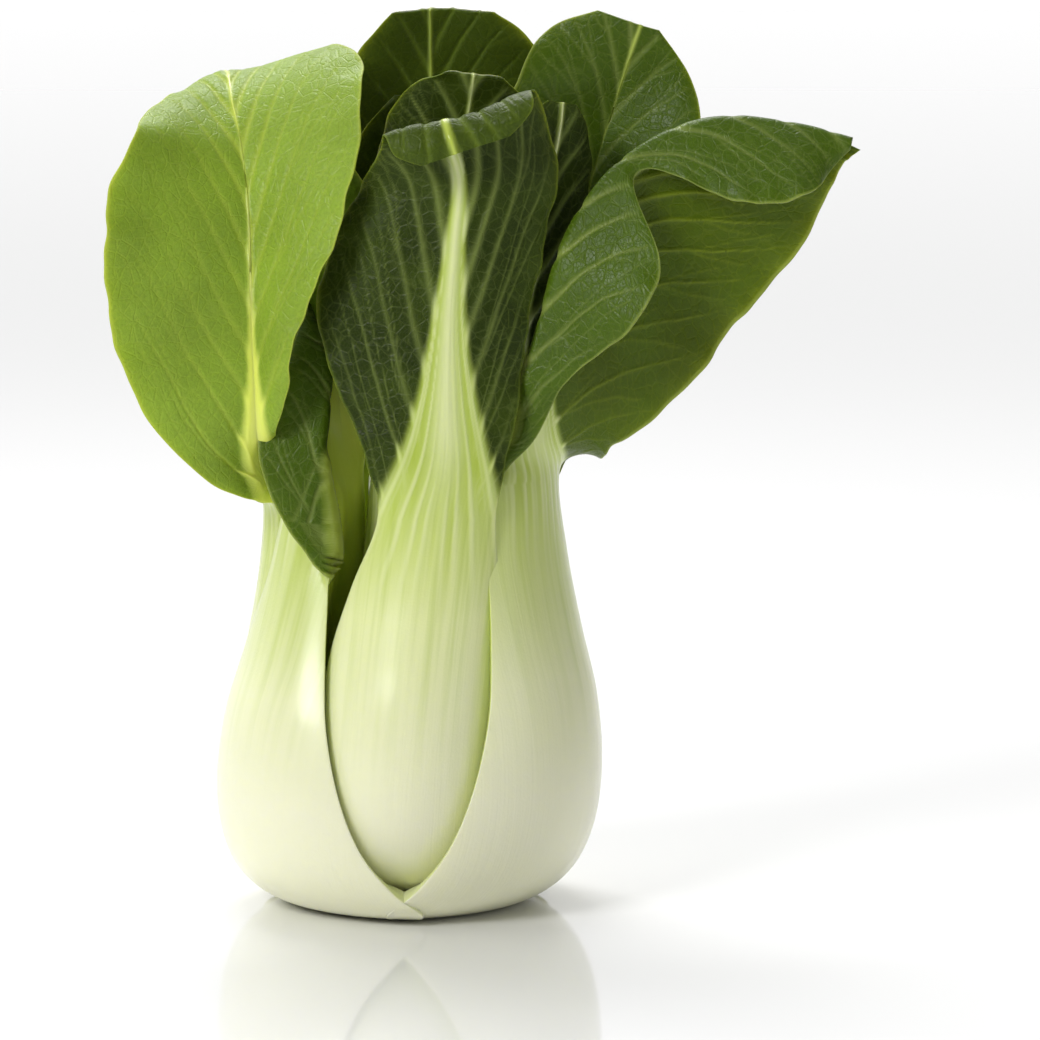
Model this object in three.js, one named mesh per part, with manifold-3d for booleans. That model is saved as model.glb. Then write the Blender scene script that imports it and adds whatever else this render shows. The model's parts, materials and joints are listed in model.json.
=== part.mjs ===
// A head of green-stemmed bok choy, standing on its trimmed base: a short stump and the leaves that
// grow from it in a spiral. Millimetres, +Z up, origin at the middle of the cut face under the stump.
// Every leaf is one closed solid, a thick spoon-shaped stalk that thins out into its blade.
import * as THREE from "three";
import { mergeVertices } from "three/addons/utils/BufferGeometryUtils.js";
import Module from "manifold-3d";

const wasm = await Module();
wasm.setup();

// Driving dimensions.
const BULB_RADIUS = 38.8;
const NECK_HEIGHT = 80;
const STALK_THICKNESS = 8;
const STUMP_RADIUS = 13.5;
const STUMP_HEIGHT = 17;
const GAP = 0.35; // clearance between neighbouring leaves
const MARGIN_THICKNESS = 1.0; // least thickness of any leaf edge
const MARGIN_SHARE = 0.2; // edge thickness as a share of the thickness at the midrib
const ALONG = 26; // grid points along a leaf
const ACROSS = 13; // grid points across a leaf
const ARC_STEPS = 24; // steps that sum up one curled cross-section
const STUMP_SINK = 4; // radius that every stalk shrinks towards as it is set further in
const BRIM_BEND = 2; // width over which a brim turns back
const EDGE_REACH = 2; // a thickened copy of a leaf reaches this many times further at its edges

const GREEN = 0x5f8f35;
const DARK_GREEN = 0x3f6a33;
const LIGHT_GREEN = 0x86a94a;
const CREAM = 0xe9ecc8;

// Outer face of an outermost stalk: radius as a share of BULB_RADIUS, height as a share of NECK_HEIGHT
// and thickness as a share of STALK_THICKNESS, from the stump out under the bulb and up to the neck.
const STALK = [
  [0.36, 0.018, 0.88],
  [0.54, 0.0, 1.0],
  [0.72, 0.025, 1.0],
  [0.876, 0.088, 1.0],
  [0.969, 0.188, 1.0],
  [1.0, 0.325, 1.0],
  [0.964, 0.488, 0.95],
  [0.863, 0.65, 0.85],
  [0.768, 0.825, 0.72],
  [0.711, 1.0, 0.6],
];

// One entry per leaf. azimuth: where the stalk stands around the stump; turn: how far it has turned
// round by the neck; inset: how far it sits inside the outermost ring; tuck: how much further in its
// foot sits; lift: how much higher it joins the stump; thin: thickness as a share of an outermost
// stalk's; tall: height as a share of an outermost stalk's; lean: shift of the neck in x and y.
// halfWidth and curl: half width in mm and bend in degrees of each side of the stalk, left then right
// as seen from outside, base to neck.
// blade rows: midrib point x, y, z | azimuth and tilt that the outer face looks in | width left,
// right | fold at the midrib left, right | further curl left, right | thickness.
// brim: lamina past a side's own width, left then right, from the neck row on, which turns back by
// turnBack degrees. sweep: how far a side's cross-sections tip towards the leaf's tip, in degrees.
const LEAVES = {
  leaf_left_back: {
    azimuth: 178, inset: 5, lift: 4, thin: 0.85, lean: [-4, -2], colour: LIGHT_GREEN,
    halfWidth: [[12, 26, 26, 18, 7], [12, 26, 26, 18, 9]],
    curl: [[60, 60, 60, 60, 50], [60, 60, 60, 60, 50]],
    blade: [
      [-29, -9, 88, 150, 0, 2.5, 8, 0, 0, 30, 20, 3.0],
      [-28.8, -17, 96, 115, 0, 4, 17, 40, 0, 10, 0, 1.8],
      [-28.8, -19, 105, 107, 0, 8, 25, 55, 5, 0, 5, 1.2],
      [-29.2, -18.5, 116, 105, 0, 12, 29.5, 55, 5, 0, 10, 1.2],
      [-29.6, -16.5, 128, 105, 0, 19, 32, 50, 8, 0, 15, 1.2],
      [-30.3, -13, 141, 105, 0, 24.5, 31, 42, 8, 5, 20, 1.2],
      [-32, -8, 152, 105, -15, 26.5, 23.5, 30, 8, 10, 25, 1.2],
      [-34, -0.5, 160, 85, -50, 27, 14, 10, 0, 10, 20, 1.2],
      [-35, 8, 164, 50, -72, 20, 8, 0, 0, 10, 10, 1.2],
      [-36, 15, 164.5, 50, -80, 6, 2, 0, 0, 0, 0, 1.2],
    ],
  },
  leaf_left_outer: {
    azimuth: 207, turn: 12, lean: [0, 3], turnBack: [0, -155], colour: GREEN,
    halfWidth: [[16, 34, 36, 28, 13], [16, 37, 27, 15, 7]],
    curl: [[60, 62, 60, 60, 50], [62, 56, 46, 45, 40]],
    brim: [[0, 0, 0, 0, 0, 0], [8, 12, 12.5, 9, 3, 0]],
    sweep: [[0, 0, 0, 0, 0, 0], [-20, -10, 0, 0, 0, 0]],
    blade: [
      [-21.5, -13, 89, 222, 0, 9, 6.5, 0, 0, 30, 30, 3.0],
      [-21, -10.5, 98, 225, 0, 8, 7.5, 0, 0, 20, 25, 1.8],
      [-21, -7.5, 107, 228, 0, 8, 8, 0, 0, 10, 20, 1.2],
      [-22, -6, 116, 230, 0, 6, 5.5, 0, 0, 0, 15, 1.2],
      [-22.5, -5.5, 123, 230, 0, 2, 1.5, 0, 0, 0, 10, 1.2],
    ],
  },
  leaf_right_outer: {
    azimuth: 333, tall: 1.08, lean: [3.5, 0], turnBack: [-165, 0], colour: GREEN,
    halfWidth: [[16, 37.5, 31, 21, 15], [16, 34, 36, 30, 22]],
    curl: [[62, 60, 48, 40, 34], [62, 60, 56, 56, 50]],
    brim: [[1, 4, 8, 15, 22, 20, 4, 13.5, 20, 17, 2], [0, 0, 0, 0, 0, 0, 0, 0, 0, 0, 0]],
    sweep: [[0, 0, 12, 23, 23, 11, 0, 0, -6, -19, 0], [0, -33, -38, -30, -19, -7, 9, 31, 55, 70, 70]],
    blade: [
      [26.5, -17.3, 96, 300, 0, 5, 20, 0, 0, 20, 20, 3.0],
      [27.5, -19, 107, 288, 0, 3.5, 23, 0, 0, 20, 20, 1.8],
      [30, -19, 118, 282, 0, 3, 28.5, 0, 0, 20, 10, 1.2],
      [33.5, -18, 129, 280, 0, 3, 34, 0, 0, 20, 10, 1.2],
      [38.5, -16, 139, 280, 0, 3, 36, 0, 0, 20, 10, 1.2],
      [45, -14, 146.5, 280, 0, 3, 36, 0, 0, 20, 5, 1.2],
      [54, -12, 151.5, 280, 0, 3, 32, 0, 0, 20, 5, 1.2],
      [65, -11, 154, 280, 0, 3, 22, 0, 0, 20, 5, 1.2],
      [77, -11, 153.5, 280, 0, 2.5, 11, 0, 0, 20, 5, 1.2],
      [88, -12, 152, 280, 0, 1, 2, 0, 0, 0, 0, 1.2],
    ],
  },
  leaf_front: {
    azimuth: 268, inset: 0.6, tuck: 10, lift: 4, lean: [7.5, -2], colour: DARK_GREEN,
    halfWidth: [[8, 21, 24, 23, 12.5], [8, 20, 22, 20, 12.5]],
    curl: [[50, 66, 68, 62, 40], [50, 70, 75, 68, 40]],
    blade: [
      [8.4, -28, 91, 270, 0, 16, 12, 0, 0, 20, 20, 3.0],
      [8.8, -27, 104, 268, 0, 22, 14.5, 0, 0, 25, 30, 1.8],
      [9.2, -26, 118, 268, 0, 27, 16, 0, 0, 25, 35, 1.2],
      [10.3, -25, 133, 268, -3, 25, 18.5, 0, 0, 30, 40, 1.2],
      [11.2, -25, 146, 268, -10, 20, 20.5, 0, 0, 30, 40, 1.2],
      [9, -26.5, 154, 284, -43, 13.5, 20, 0, 0, 20, 25, 1.2],
      [8.6, -30, 157, 0, -75, 12, 18, 0, 0, 10, 15, 1.2],
      [9.6, -33, 154.5, 82, -29, 11, 17, 0, 0, 0, 5, 1.2],
      [10.6, -33, 151.5, 90, -5, 7, 11, 0, 0, 0, 0, 1.2],
    ],
  },
  leaf_back_outer: {
    azimuth: 92, lean: [2, -2], colour: DARK_GREEN,
    halfWidth: [[16, 36, 38, 30, 18], [16, 36, 38, 30, 18]],
    curl: [[62, 62, 60, 60, 50], [62, 62, 60, 60, 50]],
    blade: [
      [2, 26, 95, 92, 0, 18, 18, 0, 0, 30, 30, 3.0],
      [3, 27, 112, 92, 0, 24, 24, 0, 0, 30, 30, 1.8],
      [4, 27, 129, 92, 0, 28, 28, 0, 0, 30, 30, 1.2],
      [4.5, 25, 146, 92, 5, 30, 27, 0, 0, 25, 25, 1.2],
      [5, 22, 160, 92, 10, 27, 21, 0, 0, 20, 20, 1.2],
      [5, 18, 171, 92, 20, 22, 14, 0, 0, 20, 20, 1.2],
      [5, 15, 178, 92, 25, 13, 8, 0, 0, 20, 20, 1.2],
    ],
  },
  leaf_left_inner: {
    azimuth: 150, inset: 9, lift: 8, thin: 0.75, lean: [5, -14], colour: LIGHT_GREEN,
    halfWidth: [[10, 20, 20, 14, 7], [10, 20, 20, 14, 9]],
    curl: [[50, 60, 60, 60, 50], [50, 60, 60, 60, 50]],
    blade: [
      [-13.5, -4, 88, 130, 0, 6, 9, 0, 0, 40, 40, 3.0],
      [-13.5, -5, 99, 115, 0, 8, 11, 10, 0, 30, 30, 2.2],
      [-14, -4.5, 112, 108, 0, 11, 10, 10, 0, 20, 20, 1.6],
      [-15, -3, 127, 105, 0, 12, 11, 10, 0, 20, 20, 1.2],
      [-15, -2, 140, 105, 0, 9, 9, 10, 0, 20, 20, 1.2],
      [-15, 0, 150, 105, 0, 3, 3, 10, 0, 20, 20, 1.2],
    ],
  },
  leaf_right_back: {
    azimuth: 45, inset: 8, lift: 7, thin: 0.8, lean: [6, -4], colour: GREEN,
    halfWidth: [[10, 22, 22, 18, 14], [10, 22, 22, 18, 14]],
    curl: [[50, 60, 60, 60, 50], [50, 60, 60, 60, 50]],
    blade: [
      [27, 13, 97, 70, 0, 14, 14, 10, 10, 20, 20, 3.0],
      [30, 13, 114, 80, 0, 16, 18, 20, 20, 20, 20, 1.8],
      [34, 13, 130, 85, 0, 21, 24, 25, 25, 10, 10, 1.2],
      [38, 13, 146, 85, 5, 22, 24, 25, 25, 10, 10, 1.2],
      [42, 12, 159, 85, 10, 20, 22, 20, 20, 10, 10, 1.2],
      [45, 10, 169, 85, 15, 12, 17, 0, 0, 0, 0, 1.2],
      [47, 9, 175, 85, 20, 4, 9, 0, 0, 0, 0, 1.2],
    ],
  },
  leaf_right_inner: {
    azimuth: 318, inset: 14, lift: 12, thin: 0.65, lean: [6, 4], colour: DARK_GREEN,
    halfWidth: [[8, 16, 16, 12, 9], [8, 16, 16, 12, 9]],
    curl: [[50, 60, 60, 60, 50], [50, 60, 60, 60, 50]],
    blade: [
      [21, -10, 97, 300, 0, 9, 9, 0, 0, 40, 40, 3.0],
      [23, -10, 114, 290, 0, 12, 12, 0, 0, 40, 40, 1.8],
      [26, -8, 130, 285, 0, 14, 13, 0, 0, 40, 40, 1.2],
      [29, -6, 145, 285, 0, 12, 10, 0, 0, 40, 40, 1.2],
      [31, -4, 155, 285, 0, 8, 7, 0, 0, 30, 30, 1.2],
      [31.5, -3, 160, 285, 0, 3, 3, 0, 0, 0, 0, 1.2],
    ],
  },
  leaf_front_inner: {
    azimuth: 250, inset: 14, lift: 12, thin: 0.65, lean: [10, 6], colour: DARK_GREEN,
    halfWidth: [[8, 16, 16, 12, 9], [8, 16, 16, 12, 9]],
    curl: [[50, 60, 60, 60, 50], [50, 60, 60, 60, 50]],
    blade: [
      [4, -12, 97, 265, 0, 12, 12, 0, 0, 40, 40, 3.0],
      [6, -13, 114, 268, 0, 17, 17, 0, 0, 40, 40, 1.8],
      [8, -13, 131, 268, 0, 20, 20, 0, 0, 40, 40, 1.2],
      [11, -13, 148, 268, 0, 18, 18, 0, 0, 40, 40, 1.2],
      [13, -15, 159, 268, -20, 14, 14, 0, 0, 30, 30, 1.2],
      [14, -18, 166, 268, -40, 6, 6, 0, 0, 0, 0, 1.2],
    ],
  },
  leaf_back_inner: {
    azimuth: 110, inset: 15, lift: 13, thin: 0.65, lean: [3, -4], colour: DARK_GREEN,
    halfWidth: [[8, 15, 15, 12, 9], [8, 15, 15, 12, 9]],
    curl: [[50, 60, 60, 60, 50], [50, 60, 60, 60, 50]],
    blade: [
      [-3, 10, 97, 105, 0, 11, 11, 0, 0, 40, 40, 3.0],
      [-2, 11, 113, 100, 0, 15, 15, 0, 0, 40, 40, 1.8],
      [-1, 11, 129, 98, 0, 17, 17, 0, 0, 35, 35, 1.2],
      [0, 11, 144, 98, 5, 14, 14, 0, 0, 30, 30, 1.2],
      [1, 10, 155, 98, 10, 9, 9, 0, 0, 20, 20, 1.2],
      [1, 9, 161, 98, 10, 3, 3, 0, 0, 0, 0, 1.2],
    ],
  },
  heart_leaf_left: {
    azimuth: 200, inset: 25, lift: 17, thin: 0.45, lean: [3, 0], colour: LIGHT_GREEN,
    halfWidth: [[4, 8, 8, 7, 6], [4, 8, 8, 7, 6]],
    curl: [[50, 60, 60, 60, 60], [50, 60, 60, 60, 60]],
    blade: [
      [-6, 1, 95, 200, 0, 7, 7, 0, 0, 60, 60, 1.8],
      [-6, 1, 108, 200, 0, 9, 9, 0, 0, 60, 60, 1.4],
      [-5, 1, 121, 200, 0, 8, 8, 0, 0, 60, 60, 1.2],
      [-4, 1, 131, 200, 0, 3, 3, 0, 0, 30, 30, 1.2],
    ],
  },
  heart_leaf_right: {
    azimuth: 20, inset: 25, lift: 17, thin: 0.45, lean: [3, 1], colour: LIGHT_GREEN,
    halfWidth: [[4, 8, 8, 7, 6], [4, 8, 8, 7, 6]],
    curl: [[50, 60, 60, 60, 60], [50, 60, 60, 60, 60]],
    blade: [
      [11, 2, 94, 20, 0, 7, 7, 0, 0, 60, 60, 1.8],
      [12, 2, 105, 20, 0, 8, 8, 0, 0, 60, 60, 1.4],
      [12, 2, 116, 20, 0, 7, 7, 0, 0, 60, 60, 1.2],
      [12, 2, 124, 20, 0, 3, 3, 0, 0, 30, 30, 1.2],
    ],
  },
};

const radians = THREE.MathUtils.degToRad;

function mixed(values, share) {
  const at = share * (values.length - 1);
  const before = Math.min(Math.floor(at), values.length - 2);
  return THREE.MathUtils.lerp(values[before], values[before + 1], at - before);
}

// Direction of an azimuth and a tilt above the horizontal, both in degrees.
function direction(azimuth, tilt) {
  const level = Math.cos(radians(tilt));
  return new THREE.Vector3(
    level * Math.cos(radians(azimuth)),
    level * Math.sin(radians(azimuth)),
    Math.sin(radians(tilt)),
  );
}

// Stations of a stalk. Its width, fold, curl, brim and sweep are pairs: left, right.
function stalkStations(leaf) {
  const shrink = 1 - (leaf.inset ?? 0) / (BULB_RADIUS - STUMP_SINK);
  return STALK.map(([radiusShare, heightShare, thickShare], k) => {
    const share = k / (STALK.length - 1);
    const tuck = (leaf.tuck ?? 0) * (1 - share) * (1 - share);
    const radius = STUMP_SINK + (radiusShare * BULB_RADIUS - STUMP_SINK) * shrink - tuck;
    const atNeck = (values) => (values && share === 1 ? values.map((side) => side[0]) : [0, 0]);
    const azimuth = leaf.azimuth + (leaf.turn ?? 0) * share;
    const out = direction(azimuth, 0);
    const point = out.clone().multiplyScalar(radius);
    point.x += leaf.lean[0] * share * share;
    point.y += leaf.lean[1] * share * share;
    point.z = (leaf.lift ?? 0) * (1 - share) + heightShare * NECK_HEIGHT * (leaf.tall ?? 1);
    return {
      point,
      out,
      side: direction(azimuth + 90, 0),
      width: leaf.halfWidth.map((values) => mixed(values, share)),
      fold: [0, 0],
      curl: leaf.curl.map((values) => mixed(values, share)),
      thick: thickShare * STALK_THICKNESS * (leaf.thin ?? 1),
      brim: atNeck(leaf.brim),
      sweep: atNeck(leaf.sweep),
    };
  });
}

// Left and right values of a blade row, from lists that start with the neck's.
function bladeRow(values, k) {
  return values ? values.map((side) => side[k + 1]) : [0, 0];
}

// Stalk and blade stations together; a blade station's side direction is square to its midrib.
function leafStations(leaf) {
  const stations = stalkStations(leaf);
  const points = [
    ...stations.map((station) => station.point),
    ...leaf.blade.map(([x, y, z]) => new THREE.Vector3(x, y, z)),
  ];
  leaf.blade.forEach((row, k) => {
    const [, , , faces, tilt, left, right, foldLeft, foldRight, curlLeft, curlRight, thick] = row;
    const here = stations.length;
    const after = points[Math.min(here + 1, points.length - 1)];
    const along = after.clone().sub(points[here - 1]).normalize();
    const out = direction(faces, tilt);
    out.addScaledVector(along, -out.dot(along)).normalize();
    stations.push({
      point: points[here],
      out,
      side: along.clone().cross(out),
      width: [left, right],
      fold: [foldLeft, foldRight],
      curl: [curlLeft, curlRight],
      thick,
      brim: bladeRow(leaf.brim, k),
      sweep: bladeRow(leaf.sweep, k),
    });
  });
  return stations;
}

function flat(station) {
  const { point, out, side, width, fold, curl, thick, brim, sweep } = station;
  const frame = [...point.toArray(), ...out.toArray(), ...side.toArray()];
  return [...frame, ...width, ...fold, ...curl, thick, ...brim, ...sweep];
}

// Catmull-Rom curve through rows of numbers, read at a place counted in rows.
function between(rows, at) {
  const k = Math.min(Math.floor(at), rows.length - 2);
  const f = at - k;
  return rows[k].map((b, i) => {
    const c = rows[k + 1][i];
    const a = k > 0 ? rows[k - 1][i] : 2 * b - c;
    const d = k + 2 < rows.length ? rows[k + 2][i] : 2 * c - b;
    const bend = (2 * a - 5 * b + 4 * c - d) * f * f + (3 * b - a - 3 * c + d) * f * f * f;
    return 0.5 * (2 * b + (c - a) * f + bend);
  });
}

// Grid of points on the outer face, widened at both edges by grow, with the thickness at each.
function outerFace(leaf, grow) {
  const rows = leafStations(leaf).map(flat);
  const grid = [];
  for (let i = 0; i < ALONG; i++) {
    const v = between(rows, ((rows.length - 1) * i) / (ALONG - 1));
    for (let j = 0; j < ACROSS; j++) {
      const u = (2 * j) / (ACROSS - 1) - 1;
      const share = MARGIN_SHARE + (1 - MARGIN_SHARE) * Math.pow(1 - u * u, 0.8);
      grid.push({ place: pointAcross(leaf, v, u, grow), thick: Math.max(v[15] * share, MARGIN_THICKNESS) });
    }
  }
  return grid;
}

// Point of a cross-section, a share u of the way from the midrib to an edge: it walks out from the
// midrib and turns by the fold, then by the curl, and past the side's own width by turnBack.
function pointAcross(leaf, v, u, grow) {
  const half = u > 0 ? 1 : 0;
  const out = new THREE.Vector3(...v.slice(3, 6)).normalize();
  const side = new THREE.Vector3(...v.slice(6, 9)).normalize();
  const ahead = out.clone().cross(side);
  const own = Math.max(v[9 + half], 0.2);
  const brim = Math.max(v[16 + half], 0);
  const whole = own + brim + EDGE_REACH * grow;
  const step = (Math.abs(u) * whole) / ARC_STEPS;
  const swept = radians(v[18 + half]);
  const aside = side.multiplyScalar((half ? 1 : -1) * Math.cos(swept));
  aside.addScaledVector(ahead, Math.sin(swept));
  const turnBack = (leaf.turnBack ?? [0, 0])[half] * Math.min(brim / BRIM_BEND, 1);
  const place = new THREE.Vector3(...v.slice(0, 3));
  for (let n = 0; n < ARC_STEPS; n++) {
    const walked = (n + 0.5) * step;
    const past = THREE.MathUtils.clamp((walked - own) / BRIM_BEND + 0.5, 0, 1);
    const angle = radians(v[11 + half] + v[13 + half] * Math.min(walked / own, 1) + turnBack * past);
    place.addScaledVector(aside, step * Math.cos(angle));
    place.addScaledVector(out, -step * Math.sin(angle));
  }
  return place;
}

// Closed solid between the outer face and a copy of it moved inwards by the thickness; grow thickens
// it on every side.
function leafSolid(leaf, grow = 0) {
  const grid = outerFace(leaf, grow);
  const at = (i, j) => grid[i * ACROSS + j].place;
  const outer = [];
  const inner = [];
  for (let i = 0; i < ALONG; i++)
    for (let j = 0; j < ACROSS; j++) {
      const along = at(Math.min(i + 1, ALONG - 1), j).clone().sub(at(Math.max(i - 1, 0), j));
      const across = at(i, Math.min(j + 1, ACROSS - 1)).clone().sub(at(i, Math.max(j - 1, 0)));
      const normal = across.cross(along).normalize();
      const beyond = i === 0 ? -grow : i === ALONG - 1 ? grow : 0;
      const place = at(i, j).clone().addScaledVector(along.normalize(), beyond);
      outer.push(place.clone().addScaledVector(normal, grow));
      inner.push(place.clone().addScaledVector(normal, -grow - grid[i * ACROSS + j].thick));
    }
  const count = outer.length;
  const index = [];
  const quad = (a, b, c, d) => index.push(a, b, c, a, c, d);
  for (let i = 0; i < ALONG - 1; i++)
    for (let j = 0; j < ACROSS - 1; j++) {
      const a = i * ACROSS + j;
      quad(a, a + 1, a + ACROSS + 1, a + ACROSS);
      quad(count + a, count + a + ACROSS, count + a + ACROSS + 1, count + a + 1);
    }
  const rim = [];
  for (let j = 0; j < ACROSS - 1; j++) rim.push(j);
  for (let i = 0; i < ALONG - 1; i++) rim.push(i * ACROSS + ACROSS - 1);
  for (let j = ACROSS - 1; j > 0; j--) rim.push((ALONG - 1) * ACROSS + j);
  for (let i = ALONG - 1; i > 0; i--) rim.push(i * ACROSS);
  rim.forEach((a, k) => {
    const b = rim[(k + 1) % rim.length];
    quad(b, a, count + a, count + b);
  });
  const geometry = new THREE.BufferGeometry().setFromPoints([...outer, ...inner]);
  return geometry.setIndex(index);
}

function toSolid(geometry) {
  const bare = geometry.clone();
  bare.deleteAttribute("normal");
  bare.deleteAttribute("uv");
  const merged = mergeVertices(bare, 1e-4);
  return new wasm.Manifold(
    new wasm.Mesh({
      numProp: 3,
      vertProperties: new Float32Array(merged.attributes.position.array),
      triVerts: new Uint32Array(merged.index.array),
    }),
  );
}

function toGeometry(solid) {
  const { vertProperties, triVerts } = solid.getMesh();
  const geometry = new THREE.BufferGeometry();
  geometry.setAttribute("position", new THREE.BufferAttribute(vertProperties, 3));
  geometry.setIndex(new THREE.BufferAttribute(triVerts, 1));
  geometry.computeVertexNormals();
  return geometry;
}

function largest(solid) {
  const pieces = solid.decompose();
  return pieces.reduce((best, piece) => (piece.volume() > best.volume() ? piece : best));
}

// Short trimmed stem: flat underneath, rounded over the top.
function stumpGeometry(grow = 0) {
  const radius = STUMP_RADIUS + grow;
  const top = STUMP_HEIGHT + grow;
  const profile = [
    new THREE.Vector2(0, -grow),
    new THREE.Vector2(radius, -grow),
    new THREE.Vector2(radius, 0.3 * top),
    new THREE.Vector2(0.8 * radius, 0.65 * top),
    new THREE.Vector2(0.45 * radius, 0.92 * top),
    new THREE.Vector2(0, top),
  ];
  return new THREE.LatheGeometry(profile, 32).rotateX(Math.PI / 2);
}

// The table top, as a block that trims whatever would hang below the cut face.
function belowTable() {
  return toSolid(new THREE.BoxGeometry(200, 200, 20).translate(0, 0, -10));
}

function leafMesh(name, solid, colour) {
  const material = new THREE.MeshStandardMaterial({ color: colour, roughness: 0.45, metalness: 0 });
  const mesh = new THREE.Mesh(toGeometry(solid), material);
  mesh.name = name;
  return mesh;
}

function buildHead() {
  const head = new THREE.Group();
  head.add(leafMesh("stump", toSolid(stumpGeometry()), CREAM));
  const taken = [toSolid(stumpGeometry(GAP)), belowTable()];
  for (const [name, leaf] of Object.entries(LEAVES)) {
    const whole = toSolid(leafSolid(leaf));
    const cut = largest(taken.reduce((rest, neighbour) => rest.subtract(neighbour), whole));
    head.add(leafMesh(name, cut, leaf.colour));
    taken.push(toSolid(leafSolid(leaf, GAP)));
  }
  return head;
}

export default buildHead();
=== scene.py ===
"""A head of green-stemmed bok choy, standing on its trimmed base.

Every leaf is one surface worked out from a few stations along its midrib: a stalk that wraps the
head and a blade that folds, curls and turns. Veins, ribs and puckers are raised in the mesh.
"""

import json
import math

import bpy
import numpy as np
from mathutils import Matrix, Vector


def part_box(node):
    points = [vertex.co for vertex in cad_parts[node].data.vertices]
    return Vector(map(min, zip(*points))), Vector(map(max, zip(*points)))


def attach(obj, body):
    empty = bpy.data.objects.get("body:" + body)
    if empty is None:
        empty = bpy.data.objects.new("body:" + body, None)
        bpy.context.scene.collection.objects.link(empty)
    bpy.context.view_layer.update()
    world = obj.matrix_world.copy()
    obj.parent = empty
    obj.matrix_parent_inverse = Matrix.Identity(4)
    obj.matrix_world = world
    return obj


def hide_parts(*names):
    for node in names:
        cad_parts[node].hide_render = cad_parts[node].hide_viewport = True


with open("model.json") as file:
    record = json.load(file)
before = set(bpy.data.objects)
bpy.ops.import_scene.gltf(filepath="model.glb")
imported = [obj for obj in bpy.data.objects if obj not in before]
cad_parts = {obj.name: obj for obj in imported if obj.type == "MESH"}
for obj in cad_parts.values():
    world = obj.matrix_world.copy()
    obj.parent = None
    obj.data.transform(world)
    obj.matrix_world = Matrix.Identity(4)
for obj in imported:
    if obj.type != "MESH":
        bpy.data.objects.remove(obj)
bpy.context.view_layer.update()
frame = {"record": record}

# The stump's width in the frame sets the scale of everything drawn here in millimetres.
STUMP_WIDTH = 27.0
STUMP_LOW, STUMP_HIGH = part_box("stump")
MM = (STUMP_HIGH[0] - STUMP_LOW[0]) / STUMP_WIDTH
STUMP_HEIGHT = (STUMP_HIGH[2] - STUMP_LOW[2]) / MM

# Driving dimensions of the head, in millimetres.
BULB_RADIUS = 38.8
NECK_HEIGHT = 80.0
STALK_THICKNESS = 8.0
STUMP_SINK = 4.0  # radius that every stalk shrinks towards as it is set further in
BLADE_THICKNESS = 0.7
EDGE_THICKNESS = 0.25
BRIM_BEND = 2.0  # width over which a brim turns back
UV_SPAN = 400.0  # millimetres that fill the map from 0 to 1

# Veins and relief of a blade, in millimetres, where a leaf doesn't give its own.
VEIN_CURVE = (1.05, 9.0, 7.0)  # slope, fan and near of vein_lines
VEIN_GAP = 10.0
VEIN_UNEVEN = 0.26  # share of the gap by which a vein is off its even place
VEIN_WIDTH = 0.20  # half width of a vein far out, and what is added to it at the midrib
VEIN_WIDENS = 0.60
BRANCH_WIDTH = 0.17
BRANCH_STRENGTH = 0.42
RIBS = 3.5  # waves of ribs on half a stalk, and the finer ones among them
FINE_RIBS = 8.1
MIDRIB_HALF = 12.0  # half width of the pale midrib where it leaves the neck
MIDRIB_FADE = 15.0  # length over which the midrib narrows
MIDRIB_TIP = 0.7  # half width that is added all the way up
VEIN_RISE = 0.4
MIDRIB_RISE = 0.45
RIB_RISE = 0.16
RIPPLE = 0.5
RIPPLE_LENGTH = 15.0
SWELL = 0.5
PUCKER = 0.3

# Outer face of an outermost stalk: radius as a share of BULB_RADIUS, height as a share of
# NECK_HEIGHT, thickness as a share of STALK_THICKNESS, from the stump up to the neck.
STALK = [
    (0.36, 0.018, 0.88),
    (0.54, 0.0, 1.0),
    (0.72, 0.025, 1.0),
    (0.876, 0.088, 1.0),
    (0.969, 0.188, 1.0),
    (1.0, 0.325, 1.0),
    (0.964, 0.488, 0.95),
    (0.863, 0.65, 0.85),
    (0.768, 0.825, 0.72),
    (0.711, 1.0, 0.6),
]

# Outline of the stump from the middle underneath to the top: shares of its radius and height.
STUMP_PROFILE = [
    (0, 0), (0.5, 0), (0.9, 0), (0.985, 0.01), (1, 0.05),
    (1, 0.3), (0.8, 0.65), (0.45, 0.92), (0.2, 0.98), (0, 1),
]
STUMP_STEPS = (60, 96)  # points along the outline, and round the stump

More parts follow.
